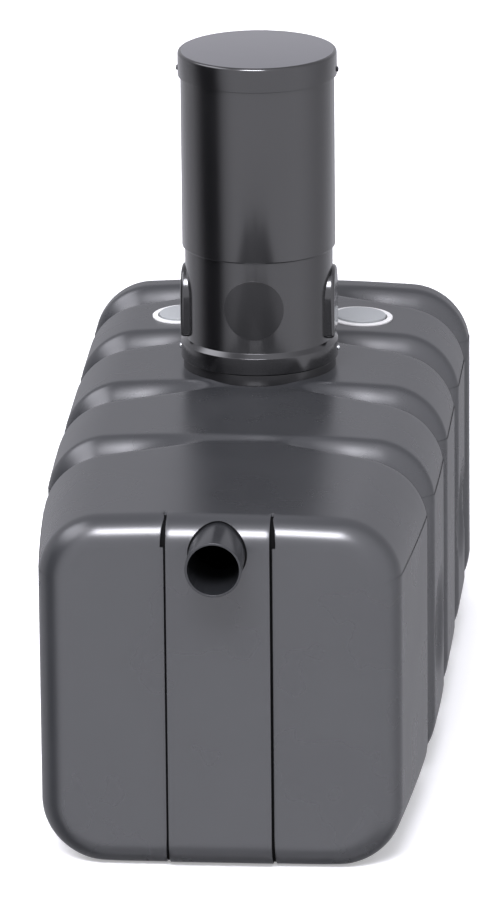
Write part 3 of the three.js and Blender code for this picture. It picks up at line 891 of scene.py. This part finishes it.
for label, side in (("left", -1), ("right", 1)):
    place = port_place(side)
    turned(
        "port_bush_" + label,
        [
            (PORT_BORE, -30.5),
            (PORT_SPIGOT, -30.5),
            (PORT_SPIGOT, -0.5),
            (PORT_RING_RADIUS, -0.5, 0.5),
            (PORT_RING_RADIUS, PORT_RING_TOP, 1.4),
            (PORT_BORE, PORT_RING_TOP, 0.8),
        ],
        white_skin,
        place,
        "tank",
        ["port_ring_" + label],
        128,
    )
    turned(
        "port_cap_" + label,
        [
            (0, PORT_PLUG_TOP - 3),
            (PORT_PLUG_RADIUS - 3, PORT_PLUG_TOP - 3),
            (PORT_PLUG_RADIUS - 3, PORT_PLUG_TOP - 22),
            (PORT_PLUG_RADIUS, PORT_PLUG_TOP - 22, 0.8),
            (PORT_PLUG_RADIUS, PORT_PLUG_TOP, 1.5),
            (0, PORT_PLUG_TOP),
        ],
        grey_skin,
        place,
        "plug_" + label,
        ["port_plug_" + label],
        128,
    )
    turned(
        "port_cap_seal_" + label,
        tube_corners(PORT_PLUG_RADIUS + 0.3, PORT_BORE - 0.3, -11.5, -6.5, 0.8),
        rubber_skin,
        place,
        "plug_" + label,
        ["port_plug_seal_" + label],
        128,
    )

# ------------------------------------------------------------------ the neck's pads and spot


def side_pad(label, side):
    """A flat pad with an arched top and softly rounded rim, on the side of the neck."""
    low = PAD_BOTTOM
    foot_round = 9
    arch = [
        (-PAD_HALF * math.cos(a), PAD_TOP - PAD_HALF + PAD_HALF * math.sin(a))
        for a in np.radians(np.linspace(0, 180, 61))
    ]
    feet = []
    for centre, start in ((PAD_HALF - foot_round, 0), (foot_round - PAD_HALF, -90)):
        for a in np.radians(np.linspace(start, start - 90, 9)):
            rise = low + foot_round + foot_round * math.sin(a)
            feet.append((centre + foot_round * math.cos(a), rise))
    outline = np.array(arch + feet)
    inward = np.roll(outline, -1, 0) - np.roll(outline, 1, 0)
    inward = np.stack([inward[:, 1], -inward[:, 0]], 1)
    inward /= np.linalg.norm(inward, axis=1)[:, None]
    loops = [(NECK_RADIUS * 0.85, 0.0), (PAD_X - PAD_EDGE, 0.0)]
    for a in np.radians(np.linspace(0, 90, 9))[1:]:
        loops.append((PAD_X - PAD_EDGE + PAD_EDGE * math.sin(a), PAD_EDGE * (1 - math.cos(a))))
    points, faces = [], []
    count = len(outline)
    for x, shrink in loops:
        for (y, z), way in zip(outline, inward):
            points.append((side * x, SHAFT_Y + y + way[0] * shrink, z + way[1] * shrink))
    for r in range(len(loops) - 1):
        for k in range(count):
            n = (k + 1) % count
            quad = (r * count + k, r * count + n, (r + 1) * count + n, (r + 1) * count + k)
            faces.append(quad if side < 0 else quad[::-1])
    cap = tuple(range((len(loops) - 1) * count, len(loops) * count))
    base = tuple(range(count))
    faces.append(cap if side < 0 else cap[::-1])
    faces.append(base[::-1] if side < 0 else base)
    pad = mesh_object("neck_pad_" + label, points, faces, neck_skin)
    smooth(pad.data)
    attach(pad, "tank")


def front_spot():
    """The round flush spot on the front of the neck, curved as the neck is."""
    loops = [(SPOT_RADIUS * k / 12, SPOT_PROUD) for k in range(1, 12)]
    loops += [(SPOT_RADIUS - 0.3, SPOT_PROUD), (SPOT_RADIUS, SPOT_PROUD - 0.25)]
    loops += [(SPOT_RADIUS, -1.5)]
    steps = 96
    points = [(0, SHAFT_Y - NECK_RADIUS - SPOT_PROUD, SPOT_Z)]
    faces = []
    for reach, proud in loops:
        for k in range(steps):
            a = 2 * math.pi * k / steps
            turn = reach * math.cos(a) / NECK_RADIUS
            r = NECK_RADIUS + proud
            z = SPOT_Z + reach * math.sin(a)
            points.append((r * math.sin(turn), SHAFT_Y - r * math.cos(turn), z))
    for k in range(steps):
        n = (k + 1) % steps
        faces.append((0, 1 + k, 1 + n))
        for r in range(len(loops) - 1):
            a, b = 1 + r * steps, 1 + (r + 1) * steps
            faces.append((a + k, b + k, b + n, a + n))
    faces.append(tuple(1 + (len(loops) - 1) * steps + k for k in range(steps - 1, -1, -1)))
    spot = mesh_object("neck_spot", points, faces, spot_skin)
    smooth(spot.data)
    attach(spot, "tank")


side_pad("left", -1)
side_pad("right", 1)
front_spot()

# ------------------------------------------------------------------ screws


def radial_tree():
    """Geometry Nodes: sets copies of one screw evenly round Z, each pointing outwards."""
    tree = bpy.data.node_groups.new("radial_screws", "GeometryNodeTree")
    sockets = (
        ("Geometry", "INPUT", "NodeSocketGeometry"),
        ("Screw", "INPUT", "NodeSocketObject"),
        ("Count", "INPUT", "NodeSocketInt"),
        ("Radius", "INPUT", "NodeSocketFloat"),
        ("Height", "INPUT", "NodeSocketFloat"),
        ("Finish", "INPUT", "NodeSocketMaterial"),
        ("Screws", "OUTPUT", "NodeSocketGeometry"),
    )
    for name, way, kind in sockets:
        tree.interface.new_socket(name, in_out=way, socket_type=kind)
    given = add_node(tree, "NodeGroupInput").outputs
    share = add_node(
        tree,
        "ShaderNodeMath",
        {"operation": "DIVIDE"},
        _0=add_node(tree, "GeometryNodeInputIndex").outputs["Index"],
        _1=given["Count"],
    )
    whole_turn = add_node(
        tree, "ShaderNodeMath", {"operation": "MULTIPLY"}, _0=share.outputs[0], _1=2 * math.pi
    )
    angle = whole_turn.outputs[0]
    first = add_node(tree, "ShaderNodeCombineXYZ", X=given["Radius"], Z=given["Height"])
    where = add_node(
        tree,
        "ShaderNodeVectorRotate",
        {"rotation_type": "Z_AXIS"},
        Vector=first.outputs["Vector"],
        Angle=angle,
    )
    turn = add_node(tree, "ShaderNodeCombineXYZ", Z=angle)
    dots = add_node(
        tree, "GeometryNodePoints", Count=given["Count"], Position=where.outputs["Vector"]
    )
    screw = add_node(tree, "GeometryNodeObjectInfo", Object=given["Screw"])
    placed = add_node(
        tree,
        "GeometryNodeInstanceOnPoints",
        Points=dots.outputs[0],
        Instance=screw.outputs["Geometry"],
        Rotation=turn.outputs["Vector"],
    )
    real = add_node(tree, "GeometryNodeRealizeInstances", Geometry=placed.outputs["Instances"])
    done = add_node(
        tree,
        "GeometryNodeSetMaterial",
        Geometry=real.outputs["Geometry"],
        Material=given["Finish"],
    )
    add_node(tree, "NodeGroupOutput", Screws=done.outputs["Geometry"])
    return tree


HEAD_RADIUS = 5.5
HEAD_HEIGHT = 3.2
SHANK_RADIUS = 2.5
SOCKET_RADIUS = 2.6
SOCKET_DEPTH = 1.6
NECK_SCREW_Z = 755.5
LID_SCREW_RISE = 11  # above the skirt's rim


def screw_pattern(name, shank):
    """One pan-head screw along +X, its seat at the origin, with a socket in its head."""
    return turned(
        name,
        [
            (0, -shank),
            (SHANK_RADIUS, -shank, 0.4),
            (SHANK_RADIUS, 0.3),
            (HEAD_RADIUS, 0.3, 0.3),
            (HEAD_RADIUS, HEAD_HEIGHT + 0.3, 1.8),
            (SOCKET_RADIUS, HEAD_HEIGHT + 0.3, 0.3),
            (SOCKET_RADIUS, HEAD_HEIGHT - SOCKET_DEPTH),
            (0, HEAD_HEIGHT - SOCKET_DEPTH),
        ],
        steel_skin,
        Matrix.Rotation(math.pi / 2, 4, "Y"),
        steps=24,
    )


RADIAL = radial_tree()
for name, shank, radius, height, material, body, slot in (
    ("neck_screws", 23, FLANGE_RADIUS, NECK_SCREW_Z, steel_skin, "tank", "bright_screw"),
    (
        "lid_screws", 5, LID_RADIUS, lid_low.z + LID_SCREW_RISE, black_steel_skin, "lid",
        "dark_screw",
    ),
):
    pattern = screw_pattern("pattern", shank)
    screws = mesh_object(name, [(0, 0, 0)], [], material)
    run_nodes(
        screws,
        RADIAL,
        Screw=pattern,
        Count=2,
        Radius=radius * MM,
        Height=height * MM,
        Finish=material,
    )
    bpy.data.objects.remove(pattern)
    screws.data.transform(Matrix.Translation((0, SHAFT_Y * MM, 0)))
    smooth(screws.data)
    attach(screws, body)
    kind = name[:-1]
    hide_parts(kind + "_left", kind + "_right")

# ------------------------------------------------------------------ parts kept from the CAD

for name, material in (
    ("inlet_seal", rubber_skin),
    ("port_nut_left", white_skin),
    ("port_nut_right", white_skin),
):
    nodes[name].data.materials.clear()
    nodes[name].data.materials.append(material)

# ------------------------------------------------------------------ floor, light and camera

FLOOR_HALF = 30000
floor_skin = moulded("painted_floor", ("#f2f2f2", "#f6f6f6"), 0.8, 0.1, 900, 20, 0.05)
# lit a little from below, as a light table is, which keeps the shadows faint
floor_skin.node_tree.nodes["Principled BSDF"].inputs["Emission Strength"].default_value = 0.3
floor = mesh_object(
    "floor",
    [(x * FLOOR_HALF, y * FLOOR_HALF, 0) for x, y in ((-1, -1), (1, -1), (1, 1), (-1, 1))],
    [(0, 1, 2, 3)],
    floor_skin,
)
floor.visible_glossy = False


BACK_LIGHT = 0.58
SOFT_SHARE = 0.38  # how much dimmer the soft light is than what shines in gloss
LIGHT_COLOUR = (0.975, 0.97, 1.05, 1)
# The world's patches: strength, whether it scales what is there, and the ramps that bound it,
# each with the angle in degrees where it starts and the one where it is full.
PATCHES = (
    # brighter in front than behind
    (0.7, False, (("azimuth", -60, -30), ("azimuth", 120, 60))),
    # a dark gap at the front left, up to a little over level
    (-1.0, True, (("azimuth", -111, -79), ("azimuth", -47, -63), ("elevation", 30, 10))),
    # dimmer right behind, below level
    (-0.3, True, (("away", 158, 170), ("elevation", 5, -12))),
    # dim well below
    (-0.58, True, (("elevation", -30, -50),)),
    # a strong soft box high in front, and a weaker one at the left
    (
        28.0,
        False,
        (
            ("azimuth", -29, -21),
            ("azimuth", 18, 10),
            ("elevation", 37, 45),
            ("elevation", 63, 55),
        ),
    ),
    (
        3.5,
        False,
        (
            ("azimuth", -121, -109),
            ("azimuth", -46, -58),
            ("elevation", 26, 38),
            ("elevation", 66, 54),
        ),
    ),
)


def studio():
    """Soft light from all round, dim in places, with two large soft boxes."""
    world = bpy.data.worlds.new("studio")
    bpy.context.scene.world = world
    world.use_nodes = True
    tree = world.node_tree
    tree.nodes.clear()
    way = add_node(tree, "ShaderNodeTexCoord").outputs["Generated"]
    at = add_node(tree, "ShaderNodeSeparateXYZ", Vector=way).outputs
    made = {"x": at["X"], "y": at["Y"], "z": at["Z"]}
    for name, operation, first, second in (
        ("back", "MULTIPLY", "y", -1.0),
        ("turn", "ARCTAN2", "x", "back"),
        ("azimuth", "DEGREES", "turn", 0.0),
        ("away", "ABSOLUTE", "azimuth", 0.0),
        ("climb", "ARCSINE", "z", 0.0),
        ("elevation", "DEGREES", "climb", 0.0),
    ):
        sum_node = add_node(
            tree,
            "ShaderNodeMath",
            {"operation": operation},
            _0=made[first],
            _1=made.get(second, second),
        )
        made[name] = sum_node.outputs[0]
    path = add_node(tree, "ShaderNodeLightPath").outputs
    total = BACK_LIGHT
    for strength, scales, ramps in (*PATCHES, (-SOFT_SHARE, True, ())):
        share = strength
        shapes = [
            add_node(
                tree,
                "ShaderNodeMapRange",
                {"interpolation_type": "SMOOTHSTEP"},
                _0=made[angle],
                _1=start,
                _2=full,
            ).outputs[0]
            for angle, start, full in ramps
        ]
        for shape in shapes or [path["Is Diffuse Ray"]]:
            product = add_node(
                tree, "ShaderNodeMath", {"operation": "MULTIPLY"}, _0=shape, _1=share
            )
            share = product.outputs[0]
        grown = add_node(
            tree,
            "ShaderNodeMath",
            {"operation": "MULTIPLY_ADD"},
            _0=share,
            _1=total if scales else 1.0,
            _2=total,
        )
        total = grown.outputs[0]
    lit = add_node(tree, "ShaderNodeBackground", Color=LIGHT_COLOUR, Strength=total)
    plain = add_node(tree, "ShaderNodeBackground", Color=(1, 1, 1, 1), Strength=1.0)
    mixed = add_node(
        tree,
        "ShaderNodeMixShader",
        _0=path["Is Camera Ray"],
        _1=lit.outputs[0],
        _2=plain.outputs[0],
    )
    add_node(tree, "ShaderNodeOutputWorld", Surface=mixed.outputs[0])


studio()
bpy.context.scene.view_settings.view_transform = "Standard"

YAW, PITCH, ROLL = (math.radians(a) for a in (4.653, 17.323, -0.541))
CAMERA_AT = (1.262, -15.520, 5.468)
level = Vector((math.cos(YAW), math.sin(YAW), 0))
ahead = Vector((-math.sin(YAW), math.cos(YAW), 0))
forward = ahead * math.cos(PITCH) - Vector((0, 0, math.sin(PITCH)))
upright = level.cross(forward)
right = level * math.cos(ROLL) + upright * math.sin(ROLL)
above = upright * math.cos(ROLL) - level * math.sin(ROLL)
camera = bpy.data.objects.new("camera", bpy.data.cameras.new("camera"))
bpy.context.scene.collection.objects.link(camera)
turn = Matrix((right, above, -forward)).transposed().to_4x4()
camera.matrix_world = Matrix.Translation(CAMERA_AT) @ turn
camera.data.lens = 320
camera.data.sensor_width = 36
camera.data.clip_end = 200
bpy.context.scene.camera = camera
